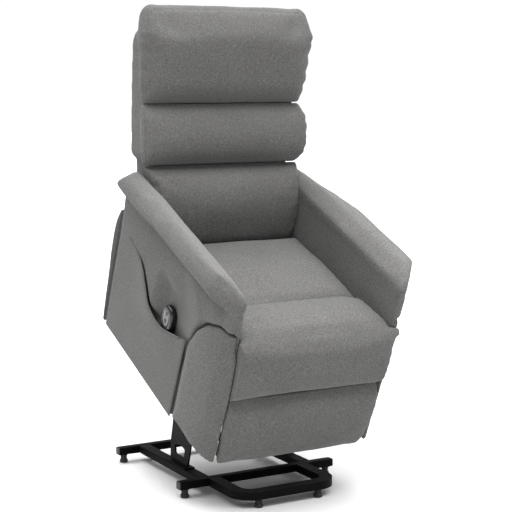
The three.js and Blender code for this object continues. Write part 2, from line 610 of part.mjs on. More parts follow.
for (const [side, sign] of SIDES) {
  const kneeOutline = linkShape(FOOTREST_PIVOT, FOOTREST_KNEE, 13);
  const knee = acrossX(kneeOutline, sign * KNEE_LINK.inner, sign * KNEE_LINK.outer, { curve: 8 });
  const rootPin = barX(8, sign * 230, sign * 248, ...FOOTREST_PIVOT);
  const kneeShape = linkShape(FOOTREST_KNEE, FOOTREST_END, 13);
  kneeShape.holes.push(circlePath(FOOTREST_KNEE[0], FOOTREST_KNEE[1], 7.4));
  kneeShape.holes.push(circlePath(FOOTREST_END[0], FOOTREST_END[1], 7.4));
  const kneePin = barX(7, sign * 216.5, sign * 230, ...FOOTREST_KNEE);
  place(seatBody, `footrest_knee_link_${side}`, joined(knee, rootPin, kneePin), LINK_STEEL());
  const reach = acrossX(kneeShape, sign * REACH_LINK.inner, sign * REACH_LINK.outer, { curve: 8 });
  place(seatBody, `footrest_reach_link_${side}`, reach, LINK_STEEL());
}
const linkTube = pointAlong(FOOTREST_PIVOT, FOOTREST_KNEE, 120);
place(seatBody, 'footrest_cross_tube',
  tubeX(10, 2, 0.3 - KNEE_LINK.inner, KNEE_LINK.inner - 0.3, ...linkTube), STEEL());

const footBoard = block([-252, 252], [-404.6, -392.6], [64, 388]);
const footLugs = SIDES.flatMap(([, sign]) => [
  acrossX(roundedShape([[-393, 240], [-393, 320], [-374, 294, 12], [-362, 280, 12], [-374, 266, 12]], 4),
    sign * 226, sign * 232),
  barX(7, sign * 216.5, sign * 228, ...FOOTREST_END),
]);
place(seatBody, 'footrest_board', joined(footBoard, ...footLugs), TIMBER());

place(seatBody, 'footrest_upper_pad', padded([
  [-405, 286, 8], [-405, 486, 8], [-420, 490, 12], [-440, 470, 24], [-446, 400, 40], [-440, 300, 24],
  [-426, 286, 10],
], mirrored([[266, 284, 12], [268, 450, 16], [287, 477, 8], [286, 492, 10]]), 10), FABRIC());
place(seatBody, 'footrest_lower_pad', padded([
  [-405, 46, 10], [-405, 283, 8], [-426, 283, 10], [-448, 250, 24], [-456, 186, 50], [-444, 90, 40],
  [-424, 48, 20],
], mirrored([[258, 44, 24], [266, 186, 40], [266, 285, 12]]), 10), FABRIC());

export default chair;
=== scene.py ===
"""Lift recliner chair: the looks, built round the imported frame.

Metres, +Z up, the chair faces -Y. "right" is the sitter's right, which is -X.
Cushions, pads, bolsters and arms start from the frame's plain solids: they are remeshed, blown up as
cloth, stretched back to the reach of their solids and pressed in where a seam runs. The rear panel and
the back shell are remeshed and sewn, but not blown up. The handset pocket is a thin shell built from its
outline.
"""

import json
import math

import bmesh
import bpy
import numpy as np
from mathutils import Matrix, Vector, noise
from mathutils.bvhtree import BVHTree
from mathutils.geometry import delaunay_2d_cdt

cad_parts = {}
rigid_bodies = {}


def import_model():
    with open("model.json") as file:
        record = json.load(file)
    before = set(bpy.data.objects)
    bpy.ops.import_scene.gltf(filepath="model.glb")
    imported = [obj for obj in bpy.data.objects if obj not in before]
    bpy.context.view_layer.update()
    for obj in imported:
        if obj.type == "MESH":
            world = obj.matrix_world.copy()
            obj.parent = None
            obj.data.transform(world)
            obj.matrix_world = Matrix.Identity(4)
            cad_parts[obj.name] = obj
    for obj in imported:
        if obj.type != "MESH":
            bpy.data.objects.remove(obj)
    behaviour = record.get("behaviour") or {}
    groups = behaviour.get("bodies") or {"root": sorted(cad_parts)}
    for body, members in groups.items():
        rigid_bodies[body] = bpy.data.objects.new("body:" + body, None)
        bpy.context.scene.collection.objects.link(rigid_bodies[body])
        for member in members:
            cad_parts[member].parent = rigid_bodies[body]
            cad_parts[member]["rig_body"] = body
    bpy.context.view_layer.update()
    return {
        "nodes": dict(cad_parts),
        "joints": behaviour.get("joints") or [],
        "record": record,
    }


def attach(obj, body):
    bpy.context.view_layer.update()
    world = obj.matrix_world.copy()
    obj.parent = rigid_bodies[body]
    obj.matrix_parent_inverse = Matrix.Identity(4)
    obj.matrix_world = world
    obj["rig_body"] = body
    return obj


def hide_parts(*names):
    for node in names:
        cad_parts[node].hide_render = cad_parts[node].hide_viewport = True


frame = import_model()
scene = bpy.context.scene
MM = 0.001
SIDES = (("right", -1), ("left", 1))


def joint_named(name):
    return next(joint for joint in frame["joints"] if joint["name"] == name)



# -------------------- frames of the tilted parts

# The seat body and the backrest are described in frames of their own, in millimetres: x sideways,
# y backwards (t in the backrest, through its padding) and z upwards (s in the backrest, up the back).
SEAT_TILT, SEAT_Z = 24.1, 283.6
HINGE_Y, HINGE_Z, BACK_ANGLE = 330, 440, 22
# The seat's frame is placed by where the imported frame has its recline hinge.
recline_hinge = joint_named("recline")["pos_m"]
SEAT_Y = (recline_hinge[1] / MM - HINGE_Y * math.cos(math.radians(SEAT_TILT))
          + HINGE_Z * math.sin(math.radians(SEAT_TILT)))
SEAT = (Matrix.Scale(MM, 4) @ Matrix.Translation((0, SEAT_Y, SEAT_Z))
        @ Matrix.Rotation(math.radians(SEAT_TILT), 4, "X"))
BACK = (SEAT @ Matrix.Translation((0, HINGE_Y, HINGE_Z))
        @ Matrix.Rotation(math.radians(-BACK_ANGLE), 4, "X"))
WORLD = Matrix.Scale(MM, 4)


def inside(points, place):
    """World points as millimetres in a frame."""
    matrix = np.array(place.inverted())
    return points @ matrix[:3, :3].T + matrix[:3, 3]


def outside(points, place):
    """Millimetres in a frame as world points."""
    matrix = np.array(place)
    return np.asarray(points, float) @ matrix[:3, :3].T + matrix[:3, 3]


# -------------------- camera, light and floor

CAMERA_AZIMUTH, CAMERA_ELEVATION, CAMERA_DISTANCE, CAMERA_LENS = -29.5, 7.3, 4.4229, 97.6
CAMERA_TARGET = Vector((-0.0054, (SEAT_Y - 198.6) * MM, 0.7549))
# (sine of the elevation, brightness)
SKY_STOPS = ((0.0, 0.118), (0.08, 0.118), (0.16, 0.045), (0.55, 0.055), (0.80, 0.36), (1.0, 1.0))
SKY_STRENGTH = 8.6
FLOOR_LEVEL = 0.60


def make_camera():
    azimuth, elevation = math.radians(CAMERA_AZIMUTH), math.radians(CAMERA_ELEVATION)
    back = Vector((math.sin(azimuth) * math.cos(elevation), -math.cos(azimuth) * math.cos(elevation),
                   math.sin(elevation)))
    data = bpy.data.cameras.new("camera")
    data.lens = CAMERA_LENS
    camera = bpy.data.objects.new("camera", data)
    camera.location = CAMERA_TARGET + back * CAMERA_DISTANCE
    camera.rotation_euler = (-back).to_track_quat("-Z", "Y").to_euler()
    scene.collection.objects.link(camera)
    scene.camera = camera


def make_area_light(name, place, size, power):
    data = bpy.data.lights.new(name, "AREA")
    data.shape = "DISK"
    data.size = size
    data.energy = power
    light = bpy.data.objects.new(name, data)
    light.location = place
    aim = Vector((0, 0, 0.7)) - light.location
    light.rotation_euler = aim.to_track_quat("-Z", "Y").to_euler()
    scene.collection.objects.link(light)


def make_sky():
    """A plain studio dome: a pale band at the horizon, darker above it and bright overhead."""
    world = bpy.data.worlds.new("studio")
    scene.world = world
    world.use_nodes = True
    tree = world.node_tree
    background = tree.nodes["Background"]
    place = tree.nodes.new("ShaderNodeTexCoord")
    split = tree.nodes.new("ShaderNodeSeparateXYZ")
    ramp = tree.nodes.new("ShaderNodeValToRGB")
    elements = ramp.color_ramp.elements
    elements.remove(elements[1])
    for number, (position, level) in enumerate(SKY_STOPS):
        element = elements[0] if number == 0 else elements.new(position)
        element.color = (level, level, level, 1)
    tree.links.new(place.outputs["Generated"], split.inputs[0])
    tree.links.new(split.outputs["Z"], ramp.inputs["Fac"])
    tree.links.new(ramp.outputs["Color"], background.inputs["Color"])
    background.inputs["Strength"].default_value = SKY_STRENGTH


def make_floor(radius=30.0):
    build = bmesh.new()
    bmesh.ops.create_circle(build, cap_ends=True, segments=96, radius=radius)
    mesh = bpy.data.meshes.new("floor")
    build.to_mesh(mesh)
    build.free()
    floor = bpy.data.objects.new("floor", mesh)
    floor.location.z = -0.0005
    scene.collection.objects.link(floor)
    material = bpy.data.materials.new("floor")
    material.use_nodes = True
    shader = material.node_tree.nodes["Principled BSDF"]
    shader.inputs["Base Color"].default_value = (FLOOR_LEVEL, FLOOR_LEVEL, FLOOR_LEVEL, 1)
    shader.inputs["Roughness"].default_value = 0.9
    shader.inputs["Specular IOR Level"].default_value = 0.1
    mesh.materials.append(material)


make_camera()
make_sky()
make_area_light("key", (-0.8, -2.5, 4.4), 2.0, 85)
make_floor()
scene.view_settings.view_transform = "Standard"

# -------------------- materials


class Graph:
    """A short way to write a material's nodes."""

    def __init__(self, name):
        self.material = bpy.data.materials.new(name)
        self.material.use_nodes = True
        self.tree = self.material.node_tree
        self.shader = self.tree.nodes["Principled BSDF"]

    def put(self, socket, value):
        if hasattr(value, "is_output"):
            self.tree.links.new(value, socket)
        elif value is not None:
            socket.default_value = value

    def add(self, kind, inputs=(), output=0, **settings):
        node = self.tree.nodes.new("ShaderNode" + kind)
        for key, value in settings.items():
            setattr(node, key, value)
        for key, value in (inputs.items() if isinstance(inputs, dict) else enumerate(inputs)):
            self.put(node.inputs[key], value)
        return node.outputs[output]

    def math(self, operation, *values):
        return self.add("Math", values, operation=operation)

    def noise(self, vector, scale, detail=2.0, roughness=0.5):
        return self.add("TexNoise", {"Vector": vector, "Scale": scale, "Detail": detail,
                                     "Roughness": roughness})

    def place(self):
        """The point's place on its object, in metres."""
        return self.tree.nodes.new("ShaderNodeTexCoord").outputs["Object"]

    def scaled(self, vector, scale):
        return self.add("VectorMath", (vector, scale), operation="MULTIPLY")

    def ramp(self, factor, *stops):
        node = self.tree.nodes.new("ShaderNodeValToRGB")
        elements = node.color_ramp.elements
        elements[0].position, elements[0].color = stops[0][0], (*stops[0][1], 1)
        elements[1].position, elements[1].color = stops[-1][0], (*stops[-1][1], 1)
        for position, colour in stops[1:-1]:
            elements.new(position).color = (*colour, 1)
        self.tree.links.new(factor, node.inputs["Fac"])
        return node.outputs["Color"]

    def bump(self, height, distance, strength=1.0, normal=None):
        inputs = {"Height": height, "Distance": distance, "Strength": strength}
        if normal is not None:
            inputs["Normal"] = normal
        return self.add("Bump", inputs)

    def finish(self, **sockets):
        for key, value in sockets.items():
            self.put(self.shader.inputs[key.replace("_", " ")], value)
        return self.material


def grey(level, warm=0.0):
    return (level * (1 + warm), level, level * (1 - 2 * warm))


# Height in the seat's frame above which the arm fabric gets painted light.
PAINTED_LIGHT_ABOVE = 600


def fabric(name, dark, middle, light, place=SEAT, thread=430, painted_light=0.0):
    """Heathered linen-look weave: uneven threads along each face's two directions.
    When asked, it is made lighter above a height in the seat's frame: painted light on the arm tops, because
    plain arm tops came out too dark."""
    g = Graph(name)
    coordinates = g.tree.nodes.new("ShaderNodeTexCoord")
    turn = place.to_euler()
    level = g.add("Mapping", {"Vector": coordinates.outputs["Object"],
                              "Rotation": (-turn.x, 0, 0)}, vector_type="POINT")
    facing = g.add("Mapping", {"Vector": coordinates.outputs["Normal"],
                               "Rotation": (-turn.x, 0, 0)}, vector_type="NORMAL")
    normal = g.tree.nodes.new("ShaderNodeSeparateXYZ")
    g.put(normal.inputs[0], facing)
    total = None
    for axis in range(3):
        slow = [thread * 0.42] * 3
        slow[axis] = thread
        threads = g.noise(g.scaled(level, tuple(slow)), 1.0, detail=1.5)
        weight = g.math("SUBTRACT", 1.0, g.math("ABSOLUTE", normal.outputs[axis]))
        part = g.math("MULTIPLY", g.math("SUBTRACT", threads, 0.5), weight)
        total = part if total is None else g.math("ADD", total, part)
    flecks = g.math("SUBTRACT", g.noise(level, 250, detail=2.0, roughness=0.65), 0.5)
    clouds = g.math("SUBTRACT", g.noise(level, 7, detail=3.0), 0.5)
    weave = g.math("ADD", total, g.math("MULTIPLY", flecks, 0.9))
    tone = g.math("ADD", g.math("MULTIPLY", weave, 0.62), g.math("MULTIPLY", clouds, 0.12))
    # Painted light: the tone is raised above that height, so the arm tops look lit from above.
    if painted_light:
        split = g.tree.nodes.new("ShaderNodeSeparateXYZ")
        g.put(split.inputs[0], level)
        start = (PAINTED_LIGHT_ABOVE + SEAT_Z * math.cos(-turn.x) - SEAT_Y * math.sin(turn.x)) * MM
        height = g.math("MULTIPLY", g.math("SUBTRACT", split.outputs["Z"], start), 24.0)
        share = g.add("Clamp", {"Value": g.math("ADD", height, g.math("MULTIPLY", clouds, 0.6))})
        tone = g.math("ADD", tone, g.math("MULTIPLY", share, painted_light))
    colour = g.ramp(g.math("ADD", tone, 0.5), (0.12, dark), (0.5, middle), (0.88, light))
    bumped = g.bump(weave, 0.0007, 0.35)
    return g.finish(Base_Color=colour, Roughness=0.92, Normal=bumped, Sheen_Weight=0.12,
                    Sheen_Roughness=0.45, Specular_IOR_Level=0.15)


def painted_steel(name, level, roughness):
    """Satin black coating with a faint orange peel, dust in patches and slight rubbing."""
    g = Graph(name)
    place = g.place()
    peel = g.noise(place, 420, detail=2.0)
    patches = g.noise(place, 14, detail=5.0, roughness=0.65)
    scuffs = g.noise(g.scaled(place, (160, 24, 90)), 1.0, detail=4.0, roughness=0.7)
    worn = g.math("MULTIPLY", g.math("GREATER_THAN", scuffs, 0.7), 0.5)
    shade = g.math("ADD", g.math("MULTIPLY", patches, 0.9), worn)
    colour = g.ramp(shade, (0.25, grey(level * 0.75)), (0.6, grey(level)),
                    (1.0, grey(level * 1.9, 0.02)))
    rough = g.math("ADD", g.math("MULTIPLY", patches, 0.24), roughness - 0.1)
    return g.finish(Base_Color=colour, Roughness=rough, Normal=g.bump(peel, 0.0003, 0.35),
                    Specular_IOR_Level=0.06)


def moulded(name, low, high, roughness, grain=900, depth=0.0002):
    """Moulded plastic or rubber: fine grain, faint flow marks."""
    g = Graph(name)
    place = g.place()
    fine = g.noise(place, grain, detail=2.0)
    flow = g.noise(place, 26, detail=4.0, roughness=0.6)
    rough = g.math("ADD", g.math("MULTIPLY", flow, 0.2), roughness - 0.1)
    colour = g.ramp(flow, (0.3, grey(low)), (0.7, grey(high)))
    return g.finish(Base_Color=colour, Roughness=rough, Normal=g.bump(fine, depth, 0.4),
                    Specular_IOR_Level=0.45)


def bright_steel(name):
    """Ground and plated steel: fine rings along the rod."""
    g = Graph(name)
    place = g.place()
    rings = g.noise(g.scaled(place, (90, 1400, 1400)), 1.0, detail=2.0)
    stain = g.noise(place, 35, detail=4.0)
    colour = g.ramp(stain, (0.3, grey(0.42)), (0.7, grey(0.62)))
    rough = g.math("ADD", g.math("MULTIPLY", rings, 0.18), 0.16)
    return g.finish(Base_Color=colour, Metallic=1.0, Roughness=rough, Normal=g.bump(rings, 0.0001, 0.3))


UPHOLSTERY_GREYS = grey(0.037, 0.01), grey(0.088, 0.012), grey(0.163, 0.012)
FABRIC = fabric("upholstery weave", *UPHOLSTERY_GREYS)
# The arms' weave, with painted light on their tops.
ARM_FABRIC_PAINTED_LIGHT = fabric("upholstery weave, brushed arm tops", *UPHOLSTERY_GREYS, painted_light=0.16)
# A darker weave that paints shade on the rear panel's sideways faces.
SIDE_SHADE_WEAVE = fabric("charcoal edging weave", grey(0.020), grey(0.042, 0.005), grey(0.075))
# Near-black weave: a dark lining underneath, and painted shade in the gaps where the timber shows.
LINING_AND_GAP_SHADE = fabric("dark lining", grey(0.012), grey(0.028), grey(0.055), thread=700)
STEEL = painted_steel("black powder coat", 0.0024, 0.55)
LINK_STEEL = painted_steel("black link steel", 0.0032, 0.50)
PLASTIC = moulded("black plastic", 0.006, 0.011, 0.46)
RUBBER = moulded("foot rubber", 0.007, 0.013, 0.7, grain=600, depth=0.0004)
GLOSS = moulded("handset gloss", 0.006, 0.010, 0.2, grain=300, depth=0.00006)
FACE = moulded("handset face", 0.13, 0.17, 0.38, grain=700, depth=0.0001)
KEYS = moulded("handset keys", 0.010, 0.018, 0.4, grain=800)
BRIGHT = bright_steel("bright rod")
# The timber shows only in gaps and from below. It gets a near-black weave: painted shade where it shows in
# the gaps behind the seat, and the dark lining the real chair is taken to have underneath.
SLOT_MATERIALS = {"black_steel": STEEL, "link_steel": LINK_STEEL, "black_plastic": PLASTIC,
                  "bright_rod": BRIGHT, "handset_gloss": GLOSS, "handset_keys": KEYS,
                  "timber": LINING_AND_GAP_SHADE, "upholstery": FABRIC}

for part in frame["record"]["subparts"]:
    carried = frame["nodes"][part["node"]]
    carried.data.materials.clear()
    carried.data.materials.append(SLOT_MATERIALS[part["material_slot"]])
for node in frame["nodes"]:
    if node.startswith("foot_"):
        frame["nodes"][node].data.materials[0] = RUBBER

# -------------------- mesh helpers


def new_object(name, mesh):
    piece = bpy.data.objects.new(name, mesh)
    scene.collection.objects.link(piece)
    return piece


def from_bmesh(name, build):
    mesh = bpy.data.meshes.new(name)
    bmesh.ops.recalc_face_normals(build, faces=build.faces)
    build.to_mesh(mesh)
    build.free()
    return new_object(name, mesh)


def points_of(piece):
    values = np.empty(len(piece.data.vertices) * 3)
    piece.data.vertices.foreach_get("co", values)
    return values.reshape(-1, 3)


def solid_points(node, place=None):
    """The points of one of the frame's nodes in millimetres, in a tilted frame or else upright."""
    points = points_of(frame["nodes"][node])
    return points / MM if place is None else inside(points, place)


def move_points(piece, points):
    piece.data.vertices.foreach_set("co", np.asarray(points, float).ravel())
    piece.data.update()


def normals_of(piece):
    values = np.empty(len(piece.data.vertices) * 3)
    piece.data.vertices.foreach_get("normal", values)
    return values.reshape(-1, 3)


def apply_modifiers(piece):
    bpy.context.view_layer.update()
    graph = bpy.context.evaluated_depsgraph_get()
    mesh = bpy.data.meshes.new_from_object(piece.evaluated_get(graph))
    piece.modifiers.clear()
    piece.data = mesh
    mesh.name = piece.name


def modify(piece, kind, **settings):
    modifier = piece.modifiers.new(kind.lower(), kind)
    for key, value in settings.items():
        setattr(modifier, key, value)
    return modifier


def smooth_shaded(piece):
    piece.data.polygons.foreach_set("use_smooth", [True] * len(piece.data.polygons))


def relax(piece, rounds, mask=None):
    """Evens out the surface: each point moves halfway to the middle of its neighbours."""
    edges = np.empty(len(piece.data.edges) * 2, int)
    piece.data.edges.foreach_get("vertices", edges)
    first, second = edges[0::2], edges[1::2]
    points = points_of(piece)
    count = np.maximum(np.bincount(np.concatenate((first, second)), minlength=len(points)), 1)[:, None]
    for _ in range(rounds):
        total = np.stack([
            np.bincount(first, points[second, axis], len(points))
            + np.bincount(second, points[first, axis], len(points)) for axis in range(3)], 1)
        step = 0.5 * (total / count - points)
        points = points + (step if mask is None else step * mask[:, None])
    move_points(piece, points)


def solid_copy(name, nodes, grow_mm, voxel_mm, mirrored=False):
    """The nodes' solids as one closed, evenly meshed body, each grown by grow_mm first."""
    build = bmesh.new()
    for node in nodes:
        build.from_mesh(frame["nodes"][node].data)
    bmesh.ops.remove_doubles(build, verts=build.verts, dist=1e-5)
    build.normal_update()
    for vertex in build.verts:
        vertex.co += vertex.normal * max(grow_mm, 0.6) * MM
        if mirrored:
            vertex.co.x = -vertex.co.x
    piece = from_bmesh(name, build)
    modify(piece, "REMESH", mode="VOXEL", voxel_size=voxel_mm * MM)
    apply_modifiers(piece)
    if grow_mm < 0:
        relax(piece, 1)
        move_points(piece, points_of(piece) + normals_of(piece) * (grow_mm - 0.6) * MM)
    return piece


def swell(pieces, last_frame=20):
    """Blows the pieces up as cloth bags. pieces holds (piece, pinned points, pressure, cap in mm)."""
    starts = {}
    for piece, pinned, pressure, _ in pieces:
        starts[piece.name] = points_of(piece)
        group = piece.vertex_groups.new(name="pinned")
        group.add([int(index) for index in np.flatnonzero(pinned)], 1.0, "REPLACE")
        cloth = modify(piece, "CLOTH")
        settings = cloth.settings
        settings.quality = 4
        settings.mass = 0.25
        settings.tension_stiffness = settings.compression_stiffness = 14
        settings.shear_stiffness = 8
        settings.bending_stiffness = 0.8
        settings.use_pressure = True
        settings.uniform_pressure_force = pressure
        settings.effector_weights.gravity = 0
        settings.vertex_group_mass = "pinned"
        cloth.collision_settings.use_collision = False
        cloth.collision_settings.use_self_collision = False
        cloth.point_cache.frame_start, cloth.point_cache.frame_end = 1, last_frame
    for number in range(1, last_frame + 1):
        scene.frame_set(number)
    graph = bpy.context.evaluated_depsgraph_get()
    for piece, _, _, cap in pieces:
        mesh = piece.evaluated_get(graph).data
        swollen = np.empty(len(mesh.vertices) * 3)
        mesh.vertices.foreach_get("co", swollen)
        start = starts[piece.name]
        step = swollen.reshape(-1, 3) - start
        length = np.maximum(np.linalg.norm(step, axis=1, keepdims=True), 1e-9)
        step *= np.minimum(1, cap * MM / length)
        piece.modifiers.clear()
        piece.vertex_groups.clear()
        move_points(piece, start + step)
    scene.frame_set(1)


def subdivide(piece):
    modify(piece, "SUBSURF", levels=1, render_levels=1)
    apply_modifiers(piece)


def lumps(points, size_mm, seed):
    """Smooth noise between -1 and 1, one value for each point."""
    shift = Vector((seed * 3.17, seed * 1.71, seed * 2.39))
    return np.array([noise.noise(Vector(point) / (size_mm * MM) + shift) for point in points])


def roughen(piece, *waves):
    """Moves the surface in and out in slow lumps. waves are (size in mm, seed, height in mm)."""
    points = points_of(piece)
    height = sum(lumps(points, size, seed) * amount for size, seed, amount in waves)
    move_points(piece, points + normals_of(piece) * (height * MM)[:, None])


def along_path(points, path):
    """For each point: its distance from the path and how far along the path it is, in mm."""
    best = np.full(len(points), 1e9)
    where = np.zeros(len(points))
    done = 0.0
    for start, end in zip(path[:-1], path[1:]):
        span = end - start
        length = np.linalg.norm(span)
        share = np.clip((points - start) @ span / max(length * length, 1e-9), 0, 1)
        gap = np.linalg.norm(points - (start + share[:, None] * span), axis=1)
        nearer = gap < best
        best = np.where(nearer, gap, best)
        where = np.where(nearer, done + share * length, where)
        done += length
    return best, where


def onto_surface(piece, path, place, steps=6):
    """A path in a frame, laid on the piece's surface with extra points, still in that frame."""
    tree = BVHTree.FromPolygons([vertex.co for vertex in piece.data.vertices],
                                [face.vertices for face in piece.data.polygons])
    fine = []
    for start, end in zip(path[:-1], path[1:]):
        start, end = np.array(start, float), np.array(end, float)
        fine += [start + (end - start) * step / steps for step in range(steps)]
    fine.append(np.array(path[-1], float))
    found = [tree.find_nearest(Vector(point))[0] for point in outside(fine, place)]
    return inside(np.array(found), place)


def sew(piece, path, place, depth=3.0, width=3.5, pucker=0.8, pitch=26.0, reach=26.0, seed=1):
    """Presses a seam into the surface along a path, with small puckers on both sides of it."""
    laid = onto_surface(piece, path, place)
    points = points_of(piece)
    here = inside(points, place)
    gap, where = along_path(here, laid)
    line = np.exp(-(gap / width) ** 2)
    broad = np.exp(-(gap / (width * 3.2)) ** 2)
    beat = np.sin(where * 2 * math.pi / pitch + 2.2 * np.sin(where / 61.0 + seed) + seed)
    folds = beat * np.exp(-gap / reach) * (1 - line)
    amount = -depth * (0.6 * line + 0.4 * broad) + pucker * folds
    move_points(piece, points + normals_of(piece) * (amount * MM)[:, None])
    return laid


def soft_limit(values, limit, softness=6.0):
    """Values pressed flat against a limit, with a short rounded run-in."""
    over = values - (limit - softness)
    return np.where(over > 0, limit - softness + softness * np.tanh(over / softness), values)


def tube_mesh(name, path, radius, sides=8, closed=False):
    """A round tube along world points."""
    build = bmesh.new()
    rings = []
    count = len(path)
    for number, point in enumerate(path):
        before = path[number - 1] if (closed or number) else point
        after = path[(number + 1) % count] if (closed or number < count - 1) else point
        direction = Vector(np.array(after) - np.array(before)).normalized()
        if number == 0:
            across = direction.orthogonal()
        else:
            across = across - direction * across.dot(direction)
        across.normalize()
        other = direction.cross(across)
        turn = [2 * math.pi * step / sides for step in range(sides)]
        rings.append([build.verts.new(Vector(point) + radius * (math.cos(a) * across + math.sin(a) * other))
                      for a in turn])
    last = count if closed else count - 1
    for number in range(last):
        here, there = rings[number], rings[(number + 1) % count]
        for step in range(sides):
            following = (step + 1) % sides
            build.faces.new([here[step], here[following], there[following], there[step]])
    if not closed:
        build.faces.new(list(reversed(rings[0])))
        build.faces.new(rings[-1])
    piece = from_bmesh(name, build)
    smooth_shaded(piece)
    return piece


def smooth_path(points, steps=5):
    """Extra points on a smooth curve through the given ones."""
    points = np.asarray(points, float)
    padded = np.vstack((2 * points[0] - points[1], points, 2 * points[-1] - points[-2]))
    fine = []
    for number in range(1, len(padded) - 2):
        p0, p1, p2, p3 = padded[number - 1:number + 3]
        for step in range(steps):
            t = step / steps
            fine.append(0.5 * (2 * p1 + (p2 - p0) * t + (2 * p0 - 5 * p1 + 4 * p2 - p3) * t * t
                               + (3 * p1 - p0 - 3 * p2 + p3) * t ** 3))
    fine.append(points[-1])
    return np.array(fine)


def finish_soft(piece, body, replaced, material=None):
    piece.data.materials.clear()
    piece.data.materials.append(material or FABRIC)
    smooth_shaded(piece)
    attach(piece, body)
    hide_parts(*replaced)


# -------------------- backrest pillows

VOXEL = 7.0
LOWER_JOINT, UPPER_JOINT = 218.6, 418.6
SHELL_FRONT = -59.0
HEAD_WIDENING = 0.035
LUMBAR_DOWN = 22
swelling = []


def eased(values):
    """0 to 1 with a soft start and end."""
    values = np.clip(values, 0, 1)
    return values * values * (3 - 2 * values)


def draw_in(piece, place, start, reach, amount):
    """Draws the front of a solid back a little, to leave room for the swelling."""
    here = inside(points_of(piece), place)
    here[:, 1] += amount * eased((start - here[:, 1]) / reach)
    move_points(piece, outside(here, place))


def fit_to_solids(piece, nodes, place, span=70, room=0.8, extra=()):
    """Stretches a piece near its ends, so that it reaches as far as its solids do on every side.
    extra holds (axis, sign, mm) for a side that reaches further."""
    wanted = np.vstack([solid_points(node, place) for node in nodes])
    here = inside(points_of(piece), place)
    for axis in range(3):
        for sign in (-1, 1):
            values = here[:, axis] * sign
            more = sum(mm for at, facing, mm in extra if (at, facing) == (axis, sign))
            short = (wanted[:, axis] * sign).max() + room + more - values.max()
            here[:, axis] += sign * short * eased(1 - (values.max() - values) / span)
    move_points(piece, outside(here, place))


def roll_in(piece, place, edge, span, depth, front):
    """Rounds the front of a piece backwards as it nears the level of an edge, like a plump seam."""
    here = inside(points_of(piece), place)
    near = np.clip(1 - np.abs(here[:, 2] - edge) / span, 0, 1)
    here[:, 1] += depth * (1 - np.sqrt(1 - near ** 2)) * eased((front - here[:, 1]) / 30)
    move_points(piece, outside(here, place))


def start_pillow(name, pressure, cap, back_by):
    piece = solid_copy(name + "_cover", [name], -1.0, VOXEL)
    depth = inside(points_of(piece), BACK)[:, 1]
    pinned = depth > depth.max() - 14
    draw_in(piece, BACK, -70, 50, back_by)
    swelling.append((piece, pinned, pressure, cap))
    return piece


head = start_pillow("head_pillow", 4.6, 17, 11)
middle = start_pillow("middle_pillow", 5.0, 16, 11)
lumbar = start_pillow("lumbar_pillow", 5.0, 16, 10)

# -------------------- seat, footrest pads, bolsters, arms


def arm_nodes(side):
    return [f"arm_pad_{side}", f"arm_side_panel_{side}", f"arm_inner_panel_{side}"]


def start_pad(name, nodes, pinned, grow, pressure, cap, voxel=VOXEL, mirrored=False):
    piece = solid_copy(name, nodes, grow, voxel, mirrored)
    local = inside(points_of(piece), SEAT)
    swelling.append((piece, pinned(local), pressure, cap))
    return piece


seat = start_pad("seat_pad", ["seat_cushion", "seat_front_cushion", "footrest_upper_pad"],
                 lambda at: (at[:, 2] < 404) & (at[:, 1] > -400), -1.2, 2.6, 7)
lower_pad = start_pad("footrest_lower_cover", ["footrest_lower_pad"],
                      lambda at: at[:, 1] > -410, -1.2, 3.0, 7)
for pad in (seat, lower_pad):
    draw_in(pad, SEAT, -405, 30, 4)
bolsters = {}
arms = {}
for side, sign in SIDES:
    bolsters[side] = start_pad(f"arm_bolster_cover_{side}", [f"arm_front_bolster_{side}"],
                               lambda at, sign=sign: at[:, 0] * sign < 278, -1.0, 3.0, 5, 6.0)
    # Both arms start from the left arm's solids, because the right side panel is cut out for the pocket.
    arms[side] = start_pad(f"arm_cover_{side}", arm_nodes("left"),
                           lambda at: at[:, 2] < 586, 1.3, 2.6, 3.5, 6.0, mirrored=sign < 0)

swell(swelling)
for piece, *_ in swelling:
    rounds = 3 if piece.name.startswith("arm") else 20 if piece is head else 12
    relax(piece, rounds)
    subdivide(piece)
for piece in (head, middle, lumbar):
    fit_to_solids(piece, [piece.name.replace("_cover", "")], BACK, room=1.4,
                  extra=[(2, -1, LUMBAR_DOWN)] if piece is lumbar else [])
here = inside(points_of(head), BACK)
here[:, 0] *= 1 + HEAD_WIDENING * eased((here[:, 2] - 560) / 90) * eased((770 - here[:, 2]) / 60)
move_points(head, outside(here, BACK))
for piece, edge in ((head, UPPER_JOINT), (middle, UPPER_JOINT), (middle, LOWER_JOINT),
                    (lumbar, LOWER_JOINT)):
    roll_in(piece, BACK, edge, 50, 34, -70)
fit_to_solids(seat, ["seat_cushion", "seat_front_cushion", "footrest_upper_pad"], SEAT, room=1.5,
              extra=[(1, 1, 6)])
fit_to_solids(lower_pad, ["footrest_lower_pad"], SEAT, room=2.0)
for piece, edge in ((seat, 286.5), (lower_pad, 285)):
    roll_in(piece, SEAT, edge, 42, 22, -412)
roll_in(lower_pad, SEAT, 45, 26, 8, -410)
for side, sign in SIDES:
    fit_to_solids(bolsters[side], [f"arm_front_bolster_{side}"], SEAT, room=0.4, extra=[(1, 1, 4.2)])
    fit_to_solids(arms[side], arm_nodes(side), SEAT, span=40, room=0.3)

# -------------------- backrest: seams, creases and contact


def press_pillow(piece, low, high, seed, lump=2.0):
    """Presses a pillow flat against its neighbours and the shell, and adds slow unevenness."""
    roughen(piece, (140, seed, lump), (46, seed + 5, lump * 0.35))
    here = inside(points_of(piece), BACK)
    here[:, 1] = soft_limit(here[:, 1], SHELL_FRONT, 4)
    if high is not None:
        here[:, 2] = soft_limit(here[:, 2], high - 0.4, 5)
    if low is not None:
        here[:, 2] = -soft_limit(-here[:, 2], -(low + 0.4), 5)
    move_points(piece, outside(here, BACK))


